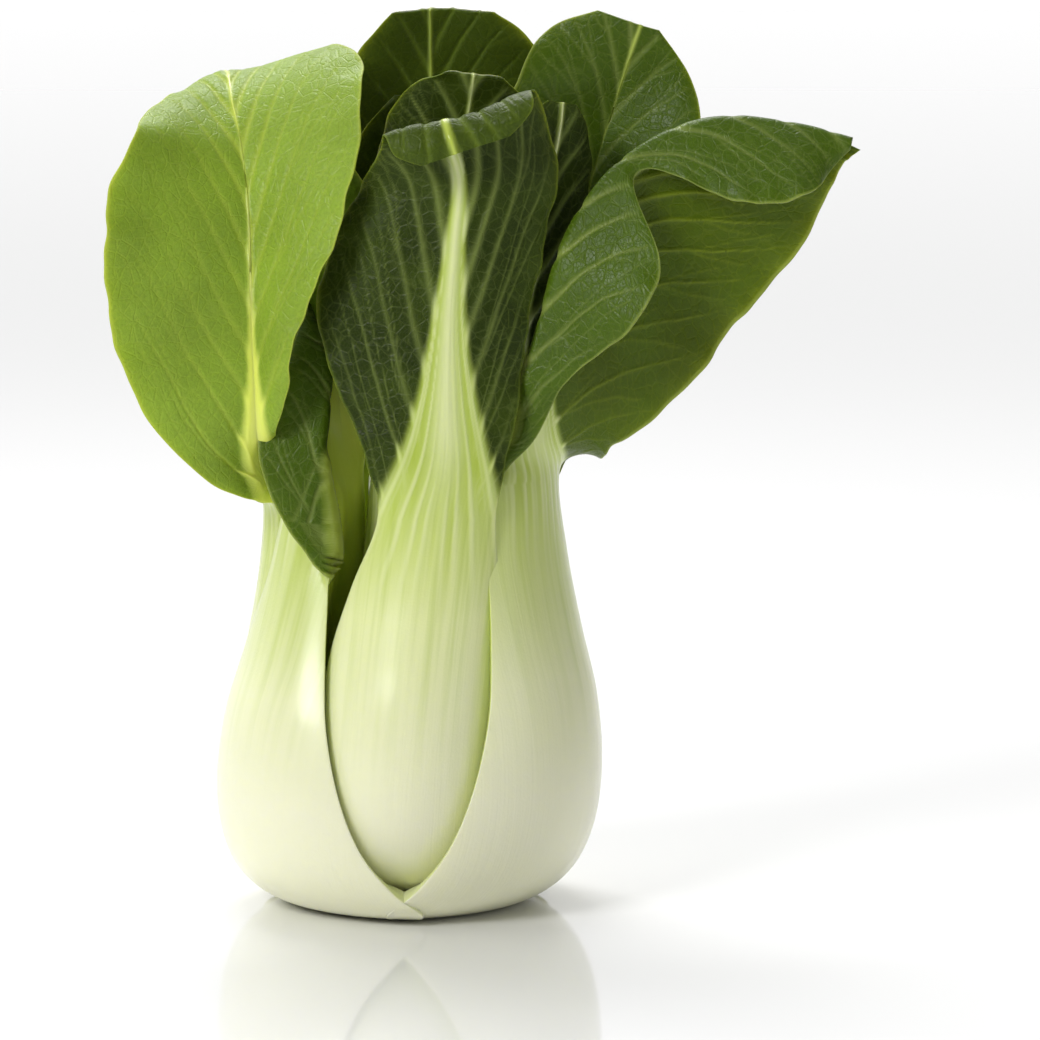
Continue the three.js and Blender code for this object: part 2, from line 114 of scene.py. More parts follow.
# Columns of a blade row: midrib point x, y, z | azimuth and tilt that the outer face looks in |
# width left, right | fold at the midrib left, right | further curl left, right | thickness.
# Left and right are as seen from outside the head. half_width and curl are the same for the stalk,
# left then right, from base to neck. A brim is lamina past a half's own width, from the neck row on,
# that turns back by the leaf's turn_back angle. sweep tips a half's sections towards the leaf's tip.
# The stalk turns by turn and leans by lean up to the neck; inset sets it further in, lift raises its
# foot, tuck draws the foot to the middle, thin and tall scale its thickness and height.
# veins is the slope, fan and near of vein_lines; vein_gap, vein_width, midrib and midrib_fade stand in
# for the values above. Angles are in degrees and lengths in millimetres.
LEAVES = {
    "leaf_left_outer": dict(
        azimuth=207, turn=12, lean=(0, 3), turn_back=(0, -155),
        half_width=((16, 34, 36, 28, 13), (16, 37, 27, 15, 7)),
        curl=((60, 62, 60, 60, 50), (62, 56, 46, 45, 40)),
        brim=((0, 0, 0, 0, 0, 0), (8, 12, 12.5, 9, 3, 0)),
        sweep=((0, 0, 0, 0, 0, 0), (-20, -10, 0, 0, 0, 0)),
        blade=[
            (-21.5, -13, 89, 222, 0, 9, 6.5, 0, 0, 30, 30, 3.0),
            (-21, -10.5, 98, 225, 0, 8, 7.5, 0, 0, 20, 25, 1.8),
            (-21, -7.5, 107, 228, 0, 8, 8, 0, 0, 10, 20, 1.2),
            (-22, -6, 116, 230, 0, 6, 5.5, 0, 0, 0, 15, 1.2),
            (-22.5, -5.5, 123, 230, 0, 2, 1.5, 0, 0, 0, 10, 1.2),
        ],
    ),
    "leaf_right_outer": dict(
        azimuth=333, tall=1.08, lean=(3.5, 0), turn_back=(-165, 0),
        half_width=((16, 37.5, 31, 21, 15), (16, 34, 36, 30, 22)),
        curl=((62, 60, 48, 40, 34), (62, 60, 56, 56, 50)),
        brim=((1, 4, 8, 15, 22, 20, 4, 13.5, 20, 17, 2), (0,) * 11),
        sweep=((0, 0, 12, 23, 23, 11, 0, 0, -6, -19, 0), (0, -33, -38, -30, -19, -7, 9, 31, 55, 70, 70)),
        blade=[
            (26.5, -17.3, 96, 300, 0, 5, 20, 0, 0, 20, 20, 3.0),
            (27.5, -19, 107, 288, 0, 3.5, 23, 0, 0, 20, 20, 1.8),
            (30, -19, 118, 282, 0, 3, 28.5, 0, 0, 20, 10, 1.2),
            (33.5, -18, 129, 280, 0, 3, 34, 0, 0, 20, 10, 1.2),
            (38.5, -16, 139, 280, 0, 3, 36, 0, 0, 20, 10, 1.2),
            (45, -14, 146.5, 280, 0, 3, 36, 0, 0, 20, 5, 1.2),
            (54, -12, 151.5, 280, 0, 3, 32, 0, 0, 20, 5, 1.2),
            (65, -11, 154, 280, 0, 3, 22, 0, 0, 20, 5, 1.2),
            (77, -11, 153.5, 280, 0, 2.5, 11, 0, 0, 20, 5, 1.2),
            (88, -12, 152, 280, 0, 1, 2, 0, 0, 0, 0, 1.2),
        ],
    ),
    "leaf_front": dict(
        azimuth=268, inset=0.6, tuck=10, lift=4, lean=(7.5, -2),
        half_width=((8, 21, 24, 23, 12.5), (8, 20, 22, 20, 12.5)),
        curl=((50, 66, 68, 62, 40), (50, 70, 75, 68, 40)),
        veins=(1.6, 40.0, 14.0), vein_gap=16.0, vein_width=1.5, midrib=13.0, midrib_fade=25.0,
        blade=[
            (8.4, -28, 91, 270, 0, 16, 12, 0, 0, 20, 20, 3.0),
            (8.8, -27, 104, 268, 0, 22, 14.5, 0, 0, 25, 30, 1.8),
            (9.2, -26, 118, 268, 0, 27, 16, 0, 0, 25, 35, 1.2),
            (10.3, -25, 133, 268, -3, 25, 18.5, 0, 0, 30, 40, 1.2),
            (11.2, -25, 146, 268, -10, 20, 20.5, 0, 0, 30, 40, 1.2),
            (9, -26.5, 154, 284, -43, 13.5, 20, 0, 0, 20, 25, 1.2),
            (8.6, -30, 157, 0, -75, 12, 18, 0, 0, 10, 15, 1.2),
            (9.6, -33, 154.5, 82, -29, 11, 17, 0, 0, 0, 5, 1.2),
            (10.6, -33, 151.5, 90, -5, 7, 11, 0, 0, 0, 0, 1.2),
        ],
    ),
    "leaf_back_outer": dict(
        azimuth=92, lean=(2, -2),
        half_width=((16, 36, 38, 30, 18), (16, 36, 38, 30, 18)),
        curl=((62, 62, 60, 60, 50), (62, 62, 60, 60, 50)),
        blade=[
            (2, 26, 95, 92, 0, 18, 18, 0, 0, 30, 30, 3.0),
            (3, 27, 112, 92, 0, 24, 24, 0, 0, 30, 30, 1.8),
            (4, 27, 129, 92, 0, 28, 28, 0, 0, 30, 30, 1.2),
            (4.5, 25, 146, 92, 5, 30, 27, 0, 0, 25, 25, 1.2),
            (5, 22, 160, 92, 10, 27, 21, 0, 0, 20, 20, 1.2),
            (5, 18, 171, 92, 20, 22, 14, 0, 0, 20, 20, 1.2),
            (5, 15, 178, 92, 25, 13, 8, 0, 0, 20, 20, 1.2),
        ],
    ),
    "leaf_left_back": dict(
        azimuth=178, inset=5, lift=4, thin=0.85, lean=(-4, -2),
        half_width=((12, 26, 26, 18, 7), (12, 26, 26, 18, 9)),
        curl=((60, 60, 60, 60, 50), (60, 60, 60, 60, 50)),
        veins=(1.35, 9.0, 7.0),
        blade=[
            (-29, -9, 88, 150, 0, 2.5, 8, 0, 0, 30, 20, 3.0),
            (-28.8, -17, 96, 115, 0, 4, 17, 40, 0, 10, 0, 1.8),
            (-28.8, -19, 105, 107, 0, 8, 25, 55, 5, 0, 5, 1.2),
            (-29.2, -18.5, 116, 105, 0, 12, 29.5, 55, 5, 0, 10, 1.2),
            (-29.6, -16.5, 128, 105, 0, 19, 32, 50, 8, 0, 15, 1.2),
            (-30.3, -13, 141, 105, 0, 24.5, 31, 42, 8, 5, 20, 1.2),
            (-32, -8, 152, 105, -15, 26.5, 23.5, 30, 8, 10, 25, 1.2),
            (-34, -0.5, 160, 85, -50, 27, 14, 10, 0, 10, 20, 1.2),
            (-35, 8, 164, 50, -72, 20, 8, 0, 0, 10, 10, 1.2),
            (-36, 15, 164.5, 50, -80, 6, 2, 0, 0, 0, 0, 1.2),
        ],
    ),
    "leaf_left_inner": dict(
        azimuth=150, inset=9, lift=8, thin=0.75, lean=(5, -14),
        half_width=((10, 20, 20, 14, 7), (10, 20, 20, 14, 9)),
        curl=((50, 60, 60, 60, 50), (50, 60, 60, 60, 50)),
        blade=[
            (-13.5, -4, 88, 130, 0, 6, 9, 0, 0, 40, 40, 3.0),
            (-13.5, -5, 99, 115, 0, 8, 11, 10, 0, 30, 30, 2.2),
            (-14, -4.5, 112, 108, 0, 11, 10, 10, 0, 20, 20, 1.6),
            (-15, -3, 127, 105, 0, 12, 11, 10, 0, 20, 20, 1.2),
            (-15, -2, 140, 105, 0, 9, 9, 10, 0, 20, 20, 1.2),
            (-15, 0, 150, 105, 0, 3, 3, 10, 0, 20, 20, 1.2),
        ],
    ),
    "leaf_right_back": dict(
        azimuth=45, inset=8, lift=7, thin=0.8, lean=(6, -4),
        half_width=((10, 22, 22, 18, 14), (10, 22, 22, 18, 14)),
        curl=((50, 60, 60, 60, 50), (50, 60, 60, 60, 50)),
        blade=[
            (27, 13, 97, 70, 0, 14, 14, 10, 10, 20, 20, 3.0),
            (30, 13, 114, 80, 0, 16, 18, 20, 20, 20, 20, 1.8),
            (34, 13, 130, 85, 0, 21, 24, 25, 25, 10, 10, 1.2),
            (38, 13, 146, 85, 5, 22, 24, 25, 25, 10, 10, 1.2),
            (42, 12, 159, 85, 10, 20, 22, 20, 20, 10, 10, 1.2),
            (45, 10, 169, 85, 15, 12, 17, 0, 0, 0, 0, 1.2),
            (47, 9, 175, 85, 20, 4, 9, 0, 0, 0, 0, 1.2),
        ],
    ),
    "leaf_right_inner": dict(
        azimuth=318, inset=14, lift=12, thin=0.65, lean=(6, 4),
        half_width=((8, 16, 16, 12, 9), (8, 16, 16, 12, 9)),
        curl=((50, 60, 60, 60, 50), (50, 60, 60, 60, 50)),
        blade=[
            (21, -10, 97, 300, 0, 9, 9, 0, 0, 40, 40, 3.0),
            (23, -10, 114, 290, 0, 12, 12, 0, 0, 40, 40, 1.8),
            (26, -8, 130, 285, 0, 14, 13, 0, 0, 40, 40, 1.2),
            (29, -6, 145, 285, 0, 12, 10, 0, 0, 40, 40, 1.2),
            (31, -4, 155, 285, 0, 8, 7, 0, 0, 30, 30, 1.2),
            (31.5, -3, 160, 285, 0, 3, 3, 0, 0, 0, 0, 1.2),
        ],
    ),
    "leaf_front_inner": dict(
        azimuth=250, inset=14, lift=12, thin=0.65, lean=(10, 6),
        half_width=((8, 16, 16, 12, 9), (8, 16, 16, 12, 9)),
        curl=((50, 60, 60, 60, 50), (50, 60, 60, 60, 50)),
        blade=[
            (4, -12, 97, 265, 0, 12, 12, 0, 0, 40, 40, 3.0),
            (6, -13, 114, 268, 0, 17, 17, 0, 0, 40, 40, 1.8),
            (8, -13, 131, 268, 0, 20, 20, 0, 0, 40, 40, 1.2),
            (11, -13, 148, 268, 0, 18, 18, 0, 0, 40, 40, 1.2),
            (13, -15, 159, 268, -20, 14, 14, 0, 0, 30, 30, 1.2),
            (14, -18, 166, 268, -40, 6, 6, 0, 0, 0, 0, 1.2),
        ],
    ),
    "leaf_back_inner": dict(
        azimuth=110, inset=15, lift=13, thin=0.65, lean=(3, -4),
        half_width=((8, 15, 15, 12, 9), (8, 15, 15, 12, 9)),
        curl=((50, 60, 60, 60, 50), (50, 60, 60, 60, 50)),
        blade=[
            (-3, 10, 97, 105, 0, 11, 11, 0, 0, 40, 40, 3.0),
            (-2, 11, 113, 100, 0, 15, 15, 0, 0, 40, 40, 1.8),
            (-1, 11, 129, 98, 0, 17, 17, 0, 0, 35, 35, 1.2),
            (0, 11, 144, 98, 5, 14, 14, 0, 0, 30, 30, 1.2),
            (1, 10, 155, 98, 10, 9, 9, 0, 0, 20, 20, 1.2),
            (1, 9, 161, 98, 10, 3, 3, 0, 0, 0, 0, 1.2),
        ],
    ),
    "heart_leaf_left": dict(
        azimuth=200, inset=25, lift=17, thin=0.45, lean=(3, 0),
        half_width=((4, 8, 8, 7, 6), (4, 8, 8, 7, 6)),
        curl=((50, 60, 60, 60, 60), (50, 60, 60, 60, 60)),
        blade=[
            (-6, 1, 95, 200, 0, 7, 7, 0, 0, 60, 60, 1.8),
            (-6, 1, 108, 200, 0, 9, 9, 0, 0, 60, 60, 1.4),
            (-5, 1, 121, 200, 0, 8, 8, 0, 0, 60, 60, 1.2),
            (-4, 1, 131, 200, 0, 3, 3, 0, 0, 30, 30, 1.2),
        ],
    ),
    "heart_leaf_right": dict(
        azimuth=20, inset=25, lift=17, thin=0.45, lean=(3, 1),
        half_width=((4, 8, 8, 7, 6), (4, 8, 8, 7, 6)),
        curl=((50, 60, 60, 60, 60), (50, 60, 60, 60, 60)),
        blade=[
            (11, 2, 94, 20, 0, 7, 7, 0, 0, 60, 60, 1.8),
            (12, 2, 105, 20, 0, 8, 8, 0, 0, 60, 60, 1.4),
            (12, 2, 116, 20, 0, 7, 7, 0, 0, 60, 60, 1.2),
            (12, 2, 124, 20, 0, 3, 3, 0, 0, 30, 30, 1.2),
        ],
    ),
}

# Palettes: colours of the blade's outer and inner face and of the veins on each, the colour of the
# stalk's hollow side, the height as a share of the neck where the stalk turns green, and the gloss.
# The hollow side's colour is partly its own pale green and partly painted light: in light_leaf and
# leaf it is lighter than its own colour, a painted glow so that it looks lit where it lies in shade.
PALETTES = {
    "light_leaf": dict(
        outer=(0.15, 0.22, 0.02), inner=(0.250, 0.375, 0.032), gloss=0.22,
        # inside is painted light: lighter than the hollow side's own pale green, a painted glow in its
        # shade
        inside=(0.80, 0.88, 0.13), greens_from=0.66,
        vein_out=(0.40, 0.50, 0.16), vein_in=(0.46, 0.56, 0.07),
    ),
    "leaf": dict(
        outer=(0.078, 0.124, 0.001), inner=(0.062, 0.116, 0.003), gloss=0.20,
        # inside is painted light: lighter than the hollow side's own pale green, a painted glow in its
        # shade
        inside=(0.55, 0.66, 0.08), greens_from=0.62,
        vein_out=(0.25, 0.32, 0.02), vein_in=(0.30, 0.37, 0.09),
    ),
    "dark_leaf": dict(
        outer=(0.022, 0.038, 0.002), inner=(0.052, 0.082, 0.006), gloss=0.12,
        inside=(0.42, 0.52, 0.05), greens_from=0.80,
        vein_out=(0.26, 0.33, 0.08), vein_in=(0.14, 0.20, 0.02),
    ),
}
STALK_FOOT = (0.92, 0.92, 0.67)
STALK_MIDDLE = (0.76, 0.83, 0.34)
STALK_NECK = (0.44, 0.56, 0.07)
STALK_RIB = (0.84, 0.88, 0.52)
SLOTS = {entry["node"]: entry["material_slot"] for entry in frame["record"]["subparts"]}


def unit(vectors):
    """Each vector divided by its length."""
    return vectors / np.maximum(np.linalg.norm(vectors, axis=-1, keepdims=True), 1e-9)


def smooth(low, high, x):
    """0 below low, 1 above high, and a smooth step in between."""
    t = np.clip((x - low) / (high - low), 0, 1)
    return t * t * (3 - 2 * t)


def direction(azimuth, tilt=0.0):
    """Unit vector that looks along an azimuth, tilted above the level, both in degrees."""
    a, e = math.radians(azimuth), math.radians(tilt)
    return np.array([math.cos(e) * math.cos(a), math.cos(e) * math.sin(a), math.sin(e)])


def stalk_rows(leaf):
    """Stations of a stalk: the STALK profile turned round the head, shrunk, lifted and leaned."""
    shrink = 1 - leaf.get("inset", 0) / (BULB_RADIUS - STUMP_SINK)
    brim = [values[0] for values in leaf.get("brim", ((0,), (0,)))]
    sweep = [values[0] for values in leaf.get("sweep", ((0,), (0,)))]
    rows = []
    for k, (radius_share, height_share, thick_share) in enumerate(STALK):
        share = k / (len(STALK) - 1)
        radius = STUMP_SINK + (radius_share * BULB_RADIUS - STUMP_SINK) * shrink
        radius -= leaf.get("tuck", 0) * (1 - share) ** 2
        azimuth = leaf["azimuth"] + leaf.get("turn", 0) * share
        point = radius * direction(azimuth)
        point[0] += leaf["lean"][0] * share**2
        point[1] += leaf["lean"][1] * share**2
        point[2] = leaf.get("lift", 0) * (1 - share) + height_share * NECK_HEIGHT * leaf.get("tall", 1)
        places = np.linspace(0, 1, len(leaf["curl"][0]))
        widths = [np.interp(share, places, values) for values in leaf["half_width"]]
        curls = [np.interp(share, places, values) for values in leaf["curl"]]
        thick = thick_share * STALK_THICKNESS * leaf.get("thin", 1)
        past = brim if share == 1 else (0, 0)
        swept = sweep if share == 1 else (0, 0)
        facing = [*direction(azimuth), *direction(azimuth + 90)]
        rows.append([*point, *facing, *widths, 0, 0, *curls, thick, *past, *swept])
    return rows


def leaf_rows(leaf):
    """Stations of a whole leaf; a blade station's side is square to its midrib and to its facing."""
    rows = stalk_rows(leaf)
    first = len(rows)
    none = ((0,) * (len(leaf["blade"]) + 1),) * 2
    brims, sweeps = leaf.get("brim", none), leaf.get("sweep", none)
    points = np.array([row[:3] for row in rows] + [row[:3] for row in leaf["blade"]], float)
    along = unit(points[np.minimum(np.arange(len(points)) + 1, len(points) - 1)] - np.roll(points, 1, 0))
    for k, row in enumerate(leaf["blade"]):
        out = direction(row[3], row[4])
        out = unit(out - (out @ along[first + k]) * along[first + k])
        past = (brims[0][k + 1], brims[1][k + 1], sweeps[0][k + 1], sweeps[1][k + 1])
        rows.append([*row[:3], *out, *np.cross(along[first + k], out), *row[5:], *past])
    return np.array(rows, float)


def read_between(rows, at):
    """Catmull-Rom curve through rows of numbers, read at places counted in rows."""
    k = np.clip(at.astype(int), 0, len(rows) - 2)
    f = (at - k)[:, None]
    b, c = rows[k], rows[k + 1]
    a = np.where(k[:, None] > 0, rows[k - 1], 2 * b - c)
    d = np.where(k[:, None] + 2 < len(rows), rows[np.minimum(k + 2, len(rows) - 1)], 2 * c - b)
    bend = (2 * a - 5 * b + 4 * c - d) * f**2 + (3 * b - a - 3 * c + d) * f**3
    return 0.5 * (2 * b + (c - a) * f + bend)


def leaf_face(leaf, along, across):
    """Outer face of a leaf on a grid, before its veins.

    Each cross-section starts on the midrib and walks out to each edge, turning by its fold, then by
    its curl, and past the half's own width by turn_back, so a point is the midrib plus the sum of
    the steps along the side and the facing. across is odd, with the midrib in the middle column.
    """
    rows = leaf_rows(leaf)
    neck = len(STALK) - 1
    stalk_part = along // 4
    at = np.concatenate([np.linspace(0, neck - 0.5, stalk_part, endpoint=False),
                         np.linspace(neck - 0.5, len(rows) - 1, along - stalk_part)])
    v = read_between(rows, at)
    point, out, side = v[:, None, 0:3], unit(v[:, None, 3:6]), unit(v[:, None, 6:9])
    ahead = np.cross(out, side)
    u = np.linspace(-1, 1, across)[None, :]
    middle = across // 2
    halves, places = [], []
    for right in (0, 1):
        own = np.maximum(v[:, 9 + right, None], 0.2)
        past = np.maximum(v[:, 16 + right, None], 0)
        whole = own + past
        steps = (np.arange(middle) + 0.5)[None, :] / middle * whole
        angle = v[:, 11 + right, None] + v[:, 13 + right, None] * np.minimum(steps / own, 1)
        turned = leaf.get("turn_back", (0, 0))[right] * np.minimum(past / BRIM_BEND, 1)
        angle = angle + turned * np.clip((steps - own) / BRIM_BEND + 0.5, 0, 1)
        angle = np.radians(angle)
        sideways = np.cumsum(np.cos(angle), 1) * whole / middle
        inwards = np.cumsum(np.sin(angle), 1) * whole / middle
        swept = np.radians(v[:, None, 18 + right, None])
        aside = (1 if right else -1) * np.cos(swept) * side + np.sin(swept) * ahead
        place = point + sideways[..., None] * aside - inwards[..., None] * out
        places.append(place if right else place[:, ::-1])
        halves.append((whole, own))
    place = np.concatenate([places[0], point, places[1]], 1)
    is_right = (u > 0).astype(int)
    width = np.where(is_right, halves[1][0], halves[0][0])
    own = np.where(is_right, halves[1][1], halves[0][1])
    steps = np.linalg.norm(np.diff(v[:, :3], axis=0), axis=1)
    length = np.concatenate([[0], np.cumsum(steps)])
    neck_length = np.interp(neck, at, length)
    neck_width = np.array([np.interp(neck, at, v[:, 9]), np.interp(neck, at, v[:, 10])])
    return dict(place=place, u=u, width=width, own=own, half=np.abs(u) * width, right=is_right,
                thick=v[:, 15, None], length=length[:, None], neck=neck_length, neck_width=neck_width)


def vein_lines(face, leaf, half, above, edge, seed):
    """Strength of the side veins, 0 to 1, and of their finer branches.

    Veins leave the midrib at a low angle and bend away from it: a vein that starts a length s up the
    midrib lies where above = s + g(half), with g(x) = slope x + fan (1 - exp(-x / near)). A point's
    strength falls off as a bell with its distance aside from the nearest vein.
    """
    rng = np.random.default_rng(seed)
    slope, fan, near = leaf.get("veins", VEIN_CURVE)
    gap = leaf.get("vein_gap", VEIN_GAP)
    g = slope * half + fan * (1 - np.exp(-half / near))
    steep = slope + fan / near * np.exp(-half / near)
    slow_wave = 0.10 * np.sin(half * 0.2 + above * 0.05 + rng.uniform(0, 6))
    quick_wave = 0.012 * np.sin(half * 0.9 + above * 0.2)
    start = (above - g) / gap + np.where(face["right"], 0.5, 0.0) + slow_wave + quick_wave
    nearest = np.round(start)
    uneven = VEIN_UNEVEN * np.sin(nearest * 12.9 + face["right"] * 4.1 + seed)
    aside = (start - nearest - uneven) * gap / np.sqrt(1 + steep**2)
    width = (VEIN_WIDTH + VEIN_WIDENS * np.exp(-half / 9)) * leaf.get("vein_width", 1.0) * (1 - 0.4 * edge)
    strength = 0.75 + 0.25 * np.sin(nearest * 5.7 + seed)
    veins = strength * np.exp(-((aside / width) ** 2)) * (1 - smooth(0.75, 1.0, edge))
    # Two branches leave each vein part of the way out and reach towards the edge.
    fork_at = (0.40 + 0.12 * np.sin(nearest * 7.3 + seed)) * face["width"]
    away = np.maximum(half - fork_at, 0)
    branch = np.minimum(np.abs(aside - 0.34 * away), np.abs(aside + 0.30 * away))
    branches = BRANCH_STRENGTH * np.exp(-((branch / BRANCH_WIDTH) ** 2)) * smooth(0, 2, away)
    return veins, branches * (1 - smooth(0.9, 1.0, edge))


def blade_share(face, past_neck, above, edge, beyond_midrib):
    """0 on the stalk and the midrib, 1 on the lamina and on a brim that is turned back."""
    blade = smooth(-0.5, 0.8 + 3.0 * np.exp(-above / 15), beyond_midrib)
    blade = blade * smooth(-12, 6, past_neck + 10 * edge**2)
    brim = smooth(0.2, 1.5, face["width"] - face["own"]) * smooth(-0.5, 0.8, face["half"] - face["own"])
    return np.maximum(blade, brim)


def stalk_ribs(share, past_neck, above, seed):
    """Strength of the ribs that run along stalk and midrib: waves over the share of their half width."""
    wander = 0.05 * np.sin(above / 17 + seed) + 0.08 * np.sin(5 * share + seed)
    stripes = np.cos(2 * np.pi * RIBS * (share + wander))
    stripes = stripes + 0.5 * np.cos(2 * np.pi * FINE_RIBS * share + seed)
    ribs = smooth(-0.6, 1.4, stripes) * (1 - smooth(0.9, 1.25, share))
    return ribs * smooth(-32, 0, past_neck) * (1 - smooth(35, 70, above))


def leaf_pattern(face, leaf, seed):
    """Strength of veins, ribs and midrib over a leaf, and the share of blade, all from 0 to 1.

    The midrib's half width is its width at the neck times exp(-above / fade), plus a little.
    """
    past_neck = face["length"] - face["neck"]
    above = np.maximum(past_neck, 0)
    edge = np.abs(face["u"]) * np.ones_like(above)
    neck_half = np.abs(face["u"]) * face["neck_width"][face["right"]]
    half = np.where(past_neck > 0, face["half"], neck_half)
    midrib_half = leaf.get("midrib", MIDRIB_HALF) * np.exp(-above / leaf.get("midrib_fade", MIDRIB_FADE))
    midrib_half = midrib_half + MIDRIB_TIP * (1 - smooth(0, 100, above))
    midrib_half = np.where(past_neck > 0, midrib_half, 100.0)
    veins, branches = vein_lines(face, leaf, half, above, edge, seed)
    beyond = half - midrib_half - 3.4 * (veins - 0.25) * np.exp(-above / 22)
    blade = blade_share(face, past_neck, above, edge, beyond)
    midrib = np.exp(-((half / (0.4 * np.minimum(midrib_half, 8) + 0.3)) ** 2)) * smooth(-5, 20, past_neck)
    stalk_share = neck_half / (leaf.get("midrib", MIDRIB_HALF) + MIDRIB_TIP)
    share = np.where(past_neck > 0, half / midrib_half, stalk_share)
    veins = np.maximum(veins, branches) * smooth(-3, 5, past_neck) * smooth(0.45, 1.0, share)
    veins = np.maximum(veins, 0.75 * stalk_ribs(share, past_neck, above, seed))
    return dict(vein=veins, midrib=midrib, blade=blade, edge=edge, rise=smooth(-30, 6, past_neck))


def leaf_relief(face, pattern, seed):
    """Heights over the outer face: the slow shape both faces share, what is raised, and the puckers.

    The slow shape is a ripple that grows towards the edge as edge^5, plus a swell, a product of two
    waves. Puckers are the ground between the veins.
    """
    length, edge, blade, vein = face["length"], pattern["edge"], pattern["blade"], pattern["vein"]
    phase = 2 * np.pi * length / RIPPLE_LENGTH + face["right"] * 2.0 + 1.5 * np.sin(length / 23 + seed)
    ripple = RIPPLE * blade * edge**5 * (np.sin(phase) + 0.4 * np.sin(2.3 * phase + seed))
    swell = np.sin(length / 9 + 3 * face["u"] + seed) * np.sin(face["half"] / 6 + length / 14)
    slow = ripple + SWELL * blade * swell * (1 - edge**2)
    raised = blade * vein * (VEIN_RISE - 0.25 * edge) + MIDRIB_RISE * pattern["midrib"]
    raised = raised + RIB_RISE * (1 - blade) * pattern["rise"] * vein
    pucker = PUCKER * blade * (1 - vein) * smooth(0, 0.3, 1 - edge)
    return slow, raised, pucker


def grid_faces(rows, columns, first=0, turned=False):
    """Quads of a grid of points numbered row by row."""
    a = (np.arange(rows - 1)[:, None] * columns + np.arange(columns - 1)[None, :]).ravel() + first
    quads = np.stack([a, a + 1, a + columns + 1, a + columns], 1)
    return quads[:, ::-1] if turned else quads


def normals_of(place):
    """Unit normals of a grid, from the steps along and across it."""
    return unit(np.cross(np.gradient(place, axis=1), np.gradient(place, axis=0)))


def closed_shell(outer, inner):
    """Points and quads of the closed shell between two grids that share their numbering."""
    rows, columns = outer.shape[:2]
    count = rows * columns
    rim = np.concatenate([
        np.arange(columns - 1),
        np.arange(rows - 1) * columns + columns - 1,
        (rows - 1) * columns + np.arange(columns - 1, 0, -1),
        np.arange(rows - 1, 0, -1) * columns,
    ])
    after = np.roll(rim, -1)
    sides = np.stack([after, rim, rim + count, after + count], 1)
    quads = np.concatenate([grid_faces(rows, columns), grid_faces(rows, columns, count, True), sides])
    return np.concatenate([outer.reshape(-1, 3), inner.reshape(-1, 3)]), quads


def add_object(name, data):
    """New object of a mesh, a light or a camera, in the scene."""
    made = bpy.data.objects.new(name, data)
    bpy.context.scene.collection.objects.link(made)
    return made


def make_piece(name, points, quads, attributes, map_uv, material):
    """Mesh object of a CAD node's name, in metres, with its attributes, riding in that node's place."""
    mesh = bpy.data.meshes.new(name)
    mesh.from_pydata(np.asarray(points) * MM, [], quads.tolist())
    for key, values in attributes.items():
        layer = mesh.attributes.new(key, "FLOAT", "POINT")
        layer.data.foreach_set("value", np.asarray(values, np.float32).ravel())
    layer = mesh.uv_layers.new(name="leaf")
    corners = np.empty(len(mesh.loops), np.int32)
    mesh.loops.foreach_get("vertex_index", corners)
    layer.uv.foreach_set("vector", np.asarray(map_uv, np.float32)[corners].ravel())
    mesh.shade_smooth()
    mesh.validate()
    mesh.materials.append(material)
    piece = add_object("shown_" + name, mesh)
    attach(piece, "root")
    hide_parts(name)
    return piece


def make_leaf(name, leaf, material, seed, along, across):
    """One leaf: its outer face with veins raised, its inner face with veins sunk, closed at the edge.

    The outer face is moved along its normal by the relief; the inner face lies a thickness further in
    and follows it.
    """
    face = leaf_face(leaf, along, across)
    pattern = leaf_pattern(face, leaf, seed)
    slow, raised, pucker = leaf_relief(face, pattern, seed)
    place, normal = face["place"], normals_of(face["place"])
    length, edge, blade, vein = face["length"], pattern["edge"], pattern["blade"], pattern["vein"]
    stalk_thick = np.maximum(face["thick"], 0) * (1 - edge**4) ** 0.5
    blade_thick = BLADE_THICKNESS * (1 - edge**8) ** 0.5
    thick = np.maximum(stalk_thick * (1 - blade) + blade_thick * blade, EDGE_THICKNESS)
    outer = place + normal * (slow + raised - 0.5 * pucker)[..., None]
    inner = place + normal * (slow + 0.12 * blade * vein - pucker - thick)[..., None]
    points, quads = closed_shell(outer, inner)
    whole = np.ones_like(edge)

    def twice(values):
        return np.tile((values * whole).ravel(), 2)

    spread = np.stack([twice(np.sign(face["u"]) * face["half"]), twice(length)], 1)
    attributes = dict(
        blade=twice(blade),
        vein=twice(np.maximum(vein * (1 - 0.35 * edge), pattern["midrib"])),
        edge=twice(edge),
        rise=twice(np.clip(length / face["neck"], 0, 1.2)),
        inner=np.repeat([0.0, 1.0], whole.size),
    )
    return make_piece(name, points, quads, attributes, spread / UV_SPAN + 0.5, material)


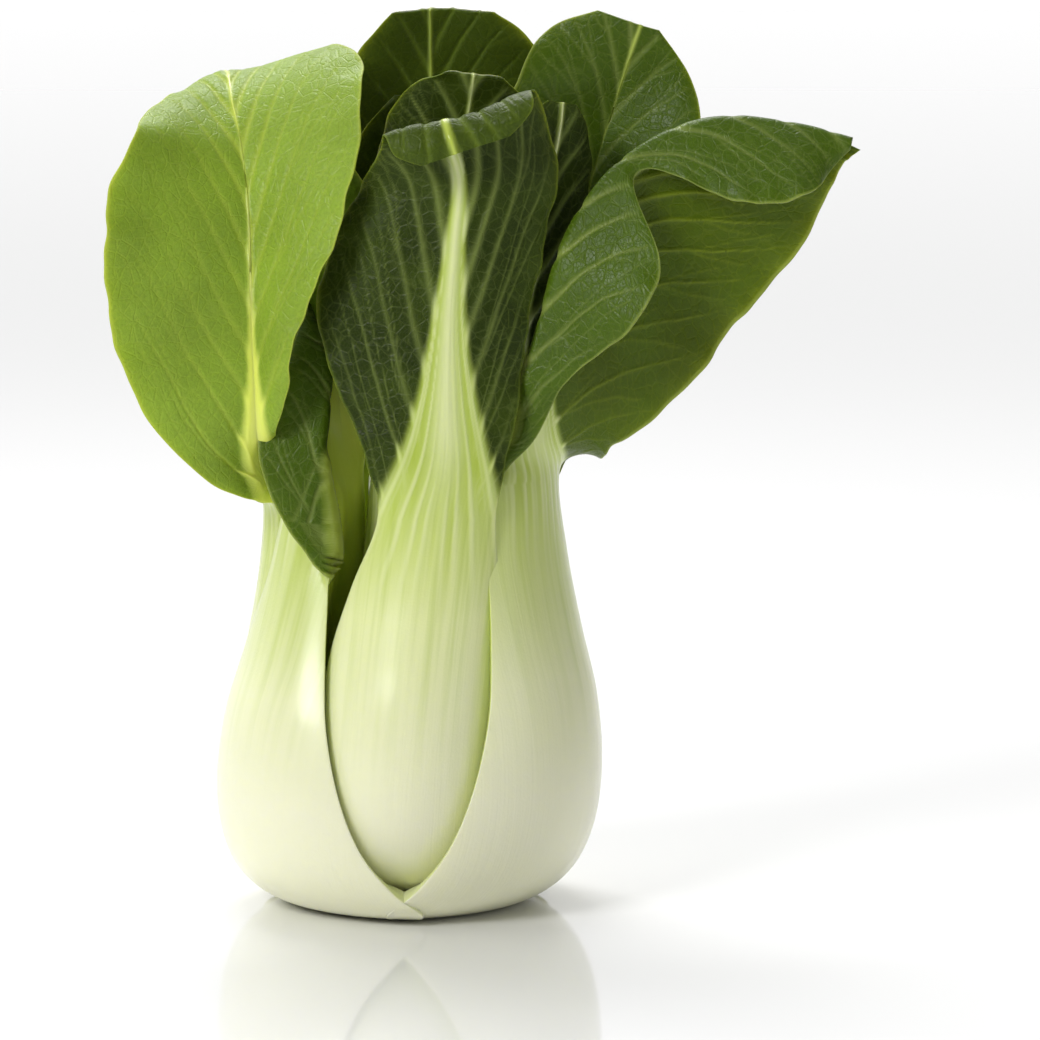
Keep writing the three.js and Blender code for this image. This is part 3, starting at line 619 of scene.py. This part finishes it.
class Nodes:
    """A new material and short ways to add, join and link its shader nodes."""

    def __init__(self, name):
        self.material = bpy.data.materials.new(name)
        self.material.use_nodes = True
        self.tree = self.material.node_tree
        self.shader = self.tree.nodes["Principled BSDF"]

    def add(self, kind, inputs=(), **settings):
        node = self.tree.nodes.new(kind)
        for key, value in settings.items():
            setattr(node, key, value)
        for socket, value in dict(inputs).items():
            if isinstance(value, bpy.types.NodeSocket):
                self.tree.links.new(value, node.inputs[socket])
            else:
                node.inputs[socket].default_value = value
        return node

    def attribute(self, name):
        return self.add("ShaderNodeAttribute", attribute_name=name).outputs["Fac"]

    def math(self, operation, a, b=0.0):
        return self.add("ShaderNodeMath", {0: a, 1: b}, operation=operation).outputs[0]

    def range(self, value, low, high, to_low=0.0, to_high=1.0):
        """to_low where value is low or less, to_high where it is high or more, straight in between."""
        inputs = {"Value": value, "From Min": low, "From Max": high, "To Min": to_low, "To Max": to_high}
        return self.add("ShaderNodeMapRange", inputs).outputs["Result"]

    def noise(self, vector, scale, detail):
        inputs = {"Vector": vector, "Scale": scale, "Detail": detail}
        return self.add("ShaderNodeTexNoise", inputs).outputs["Fac"]

    def scaled(self, vector, scale):
        """Coordinates times a scale, for patterns that are stretched or sized in millimetres."""
        return self.add("ShaderNodeMapping", {"Vector": vector, "Scale": scale}).outputs[0]

    def weighted(self, first, second):
        """Sum of two values, each times its weight."""
        parts = [self.math("MULTIPLY", value, weight) for value, weight in (first, second)]
        return self.math("ADD", *parts)

    def net(self, vector, scale, width):
        """1 on the borders between cells, 0 inside them."""
        inputs = {"Vector": vector, "Scale": scale}
        cells = self.add("ShaderNodeTexVoronoi", inputs, feature="DISTANCE_TO_EDGE")
        return self.range(cells.outputs["Distance"], 0.0, width, 1.0, 0.0)

    def bump(self, height, strength, distance):
        """Fine relief from a height."""
        inputs = {"Height": height, "Strength": strength, "Distance": distance}
        self.link(self.add("ShaderNodeBump", inputs).outputs[0], "Normal")

    def link(self, value, socket):
        """A value into the shader."""
        self.tree.links.new(value, self.shader.inputs[socket])

    def set(self, **constants):
        """Constants of the shader, with _ for each space in a socket's name."""
        for socket, value in constants.items():
            self.shader.inputs[socket.replace("_", " ")].default_value = value

    def mix(self, share, a, b):
        """Colour a where share is 0, b where it is 1."""
        node = self.add("ShaderNodeMix", data_type="RGBA")
        for socket, value in (("Factor_Float", share), ("A_Color", a), ("B_Color", b)):
            target = next(s for s in node.inputs if s.identifier == socket)
            if isinstance(value, bpy.types.NodeSocket):
                self.tree.links.new(value, target)
            else:
                target.default_value = value if socket == "Factor_Float" else (*value, 1.0)
        return next(s for s in node.outputs if s.identifier == "Result_Color")


def lamina_colour(n, palette, marks, spread, fine, net_line, small_line):
    """Blade: mottled green, paler along the veins, the fine net and the edge."""
    lamina = n.mix(marks["inner"], palette["outer"], palette["inner"])
    bright = tuple(1.5 * c for c in palette["inner"])
    patches = n.noise(spread, 0.07, 4.0)
    lamina = n.mix(n.range(patches, 0.4, 0.75, 0.0, 0.45), lamina, bright)
    dark = tuple(0.5 * c for c in palette["outer"])
    lamina = n.mix(n.range(fine, 0.35, 0.8, 0.0, 0.3), lamina, dark)
    vein_colour = n.mix(marks["inner"], palette["vein_out"], palette["vein_in"])
    for line, strength in ((net_line, 0.10), (small_line, 0.05), (marks["vein"], 0.75)):
        lamina = n.mix(n.math("MULTIPLY", line, strength), lamina, vein_colour)
    return n.mix(n.range(marks["edge"], 0.97, 0.995, 0.0, 0.6), lamina, palette["vein_in"])


def stalk_colour(n, palette, marks, streak):
    """Stalk: cream at the foot, green in streaks towards the neck, with pale ribs."""
    rise = marks["rise"]
    stalk = n.mix(n.range(rise, 0.40, 0.95), STALK_FOOT, STALK_MIDDLE)
    stalk = n.mix(n.range(rise, palette["greens_from"], 1.12), stalk, STALK_NECK)
    greener = n.math("MULTIPLY", n.range(streak, 0.45, 0.72), n.range(rise, 0.45, 1.0))
    stalk = n.mix(n.math("MULTIPLY", greener, 0.7), stalk, STALK_NECK)
    ribs = n.math("MULTIPLY", marks["vein"], n.range(rise, 0.55, 0.95))
    stalk = n.mix(n.math("MULTIPLY", ribs, 0.7), stalk, STALK_RIB)
    # The hollow side takes the palette's inside colour, more of it towards the neck: partly its own pale
    # green, partly painted light that makes it look lit where it lies in shade.
    inside = n.math("MULTIPLY", marks["inner"], n.range(rise, 0.1, 0.8, 0.3, 0.9))
    return n.mix(inside, stalk, palette["inside"])


def leaf_material(name, palette):
    """Fresh leaf: satin blade with a fine net, glossier stalk with long fibres, light let in a little."""
    n = Nodes(name)
    marks = {mark: n.attribute(mark) for mark in ("blade", "vein", "edge", "rise", "inner")}
    coords = n.add("ShaderNodeTexCoord").outputs["UV"]
    spread = n.scaled(coords, (UV_SPAN, UV_SPAN, UV_SPAN))
    fine = n.noise(spread, 1.6, 3.0)
    net_line = n.net(spread, 0.42, 0.09)
    small_line = n.net(spread, 1.3, 0.08)
    stretched = n.scaled(spread, (1.0, 0.025, 1.0))
    streak = n.noise(stretched, 0.5, 4.0)
    fibre = n.noise(stretched, 2.2, 2.0)

    lamina = lamina_colour(n, palette, marks, spread, fine, net_line, small_line)
    stalk = stalk_colour(n, palette, marks, streak)
    n.link(n.mix(marks["blade"], stalk, lamina), "Base Color")

    net_relief = n.weighted((small_line, -0.35), (net_line, -0.8))
    stalk_relief = n.weighted((streak, 0.9), (fibre, 0.35))
    height = n.math("MULTIPLY", net_relief, marks["blade"])
    not_blade = n.math("SUBTRACT", 1.0, marks["blade"])
    height = n.math("ADD", height, n.math("MULTIPLY", stalk_relief, not_blade))
    height = n.math("ADD", height, n.math("MULTIPLY", fine, 0.35))
    n.bump(height, 0.35, 0.0003)
    n.link(n.range(fine, 0.2, 0.8, 0.30, 0.42), "Roughness")
    n.link(n.range(marks["blade"], 0.0, 1.0, 0.7, 0.0), "Coat Weight")
    n.set(Coat_Roughness=0.22, Specular_IOR_Level=palette["gloss"])
    n.set(Subsurface_Weight=0.3, Subsurface_Radius=(1.0, 1.0, 0.3), Subsurface_Scale=0.002)
    return n.material


def stump_piece():
    """Trimmed stem: a surface of turning, flat underneath and rounded over the top."""
    profile = np.array(STUMP_PROFILE) * (STUMP_WIDTH / 2, STUMP_HEIGHT)
    fine_profile = read_between(profile, np.linspace(0, len(profile) - 1, STUMP_STEPS[0]))
    fine_profile = np.maximum(fine_profile, 0)
    turn = np.linspace(0, 2 * np.pi, STUMP_STEPS[1] + 1)[:-1]
    ring = fine_profile[1:-1]
    lumpy = 1 + 0.01 * np.sin(5 * turn) + 0.008 * np.sin(11 * turn + 1)
    x = ring[:, 0, None] * np.cos(turn) * lumpy
    y = ring[:, 0, None] * np.sin(turn) * lumpy
    z = ring[:, 1, None] * np.ones_like(turn)
    points = np.concatenate([np.stack([x, y, z], 2).reshape(-1, 3), [[0, 0, 0], [0, 0, STUMP_HEIGHT]]])
    rows, columns = x.shape
    a = np.arange(rows - 1)[:, None] * columns + np.arange(columns)[None, :]
    b = np.arange(rows - 1)[:, None] * columns + (np.arange(columns)[None, :] + 1) % columns
    quads = np.stack([a, b, b + columns, a + columns], 2).reshape(-1, 4).tolist()
    base, tip = rows * columns, rows * columns + 1
    quads += [[base, (k + 1) % columns, k] for k in range(columns)]
    last = (rows - 1) * columns
    quads += [[tip, last + k, last + (k + 1) % columns] for k in range(columns)]
    mesh = bpy.data.meshes.new("stump_mesh")
    mesh.from_pydata(points * MM, [], quads)
    mesh.shade_smooth()
    mesh.materials.append(stump_material())
    piece = add_object("shown_stump", mesh)
    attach(piece, "root")
    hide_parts("stump")
    return piece


def stump_material():
    """Cut stem: mottled cream flesh with fine pores, browned towards the rim of the cut."""
    n = Nodes("cut_stem")
    coords = n.add("ShaderNodeTexCoord").outputs["Object"]
    x, y = n.add("ShaderNodeSeparateXYZ", {"Vector": coords}).outputs[:2]
    radius = n.math("SQRT", n.math("ADD", n.math("MULTIPLY", x, x), n.math("MULTIPLY", y, y)))
    pores = n.add("ShaderNodeTexVoronoi", {"Vector": coords, "Scale": 900.0}).outputs["Distance"]
    mottle = n.noise(coords, 160.0, 5.0)
    colour = n.mix(n.range(mottle, 0.35, 0.7), (0.78, 0.72, 0.45), (0.66, 0.56, 0.30))
    colour = n.mix(n.range(radius, 0.007, 0.0135, 0.0, 0.6), colour, (0.50, 0.36, 0.14))
    colour = n.mix(n.range(pores, 0.0, 0.5, 0.25, 0.0), colour, (0.42, 0.34, 0.16))
    n.link(colour, "Base Color")
    n.bump(mottle, 0.5, 0.0006)
    n.link(n.range(mottle, 0.2, 0.8, 0.5, 0.7), "Roughness")
    n.set(Subsurface_Weight=0.3, Subsurface_Scale=0.002)
    return n.material


# The white surroundings' strength: from low to high of a direction, it goes from one value to another.
# Backwards it grows from the front to the backdrop; sideways a share of it is left on the right.
WORLD_BACKWARDS = (-0.4, 0.7, 0.16, 1.12)
WORLD_SIDEWAYS = (0.25, 0.75, 1.0, 0.35)
LIGHTS_AIM = Vector((0, 0, 0.09))
FLOOR_HALF = 6.0
FLOOR_DROP = 0.0002


def make_floor():
    """Plain pale table with a soft gloss, just under the cut base."""
    mesh = bpy.data.meshes.new("floor")
    half = FLOOR_HALF
    corners = [(-half, -half, 0), (half, -half, 0), (half, half, 0), (-half, half, 0)]
    mesh.from_pydata(corners, [], [(0, 1, 2, 3)])
    floor = add_object("floor", mesh)
    floor.location.z = -FLOOR_DROP
    n = Nodes("pale_table")
    n.set(Base_Color=(0.93, 0.93, 0.93, 1), Specular_IOR_Level=0.35, Roughness=0.07)
    mesh.materials.append(n.material)


def make_world():
    """White surroundings, dimmer in front and to the right, by the direction they are seen in."""
    world = bpy.data.worlds.new("studio")
    bpy.context.scene.world = world
    world.use_nodes = True
    tree = world.node_tree
    apart = tree.nodes.new("ShaderNodeSeparateXYZ")
    where = tree.nodes.new("ShaderNodeTexCoord").outputs["Generated"]
    tree.links.new(where, apart.inputs[0])
    strength = tree.nodes.new("ShaderNodeMath")
    strength.operation = "MULTIPLY"
    for k, (axis, limits) in enumerate((("Y", WORLD_BACKWARDS), ("X", WORLD_SIDEWAYS))):
        span = tree.nodes.new("ShaderNodeMapRange")
        tree.links.new(apart.outputs[axis], span.inputs["Value"])
        for socket, value in zip(("From Min", "From Max", "To Min", "To Max"), limits):
            span.inputs[socket].default_value = value
        tree.links.new(span.outputs[0], strength.inputs[k])
    background = tree.nodes["Background"]
    background.inputs["Color"].default_value = (1, 1, 1, 1)
    tree.links.new(strength.outputs[0], background.inputs["Strength"])


def softbox(name, place, size, power):
    """Square soft light that faces the head."""
    light = bpy.data.lights.new(name, "AREA")
    light.shape = "SQUARE"
    light.size = size
    light.energy = power
    lamp = add_object(name, light)
    lamp.location = place
    lamp.visible_camera = False
    lamp.rotation_mode = "QUATERNION"
    lamp.rotation_quaternion = (LIGHTS_AIM - Vector(place)).to_track_quat("-Z", "Y")


VIEW_RISE = 7.0  # degrees that the camera looks down
CAMERA_DISTANCE = 1.1
SENSOR_WIDTH = 36.0
CAMERA_AIM = Vector((0.023, 0.0, 0.0765))
FRAME_WIDTH = 0.208  # width of the view at CAMERA_AIM


def make_camera():
    """Camera in front of the head, looking a little down at its middle."""
    data = bpy.data.cameras.new("camera")
    data.sensor_width = SENSOR_WIDTH
    data.lens = data.sensor_width * CAMERA_DISTANCE / FRAME_WIDTH
    camera = add_object("camera", data)
    rise = math.radians(VIEW_RISE)
    camera.location = CAMERA_AIM + CAMERA_DISTANCE * Vector((0, -math.cos(rise), math.sin(rise)))
    camera.rotation_mode = "QUATERNION"
    camera.rotation_quaternion = (CAMERA_AIM - camera.location).to_track_quat("-Z", "Y")
    bpy.context.scene.camera = camera


# Leaves in plain sight get a finer grid.
FINE = (
    "leaf_left_outer", "leaf_left_back", "leaf_right_outer", "leaf_front", "leaf_back_outer",
    "leaf_right_back", "leaf_left_inner",
)
FINE_GRID = (280, 141)  # points along and across; across is odd
PLAIN_GRID = (180, 91)
FIRST_SEED = 3

stump_piece()
materials = {name: leaf_material(name, palette) for name, palette in PALETTES.items()}
for number, (name, leaf) in enumerate(LEAVES.items()):
    grid = FINE_GRID if name in FINE else PLAIN_GRID
    make_leaf(name, leaf, materials[SLOTS[name]], number + FIRST_SEED, *grid)
make_floor()
make_world()
softbox("key", (-0.60, -0.72, 0.65), 0.40, 7.0)
softbox("fill", (0.80, -0.60, 0.30), 0.60, 1.2)
softbox("top_back", (-0.1, 0.5, 0.9), 0.50, 5.0)
make_camera()
bpy.context.scene.view_settings.view_transform = "Standard"
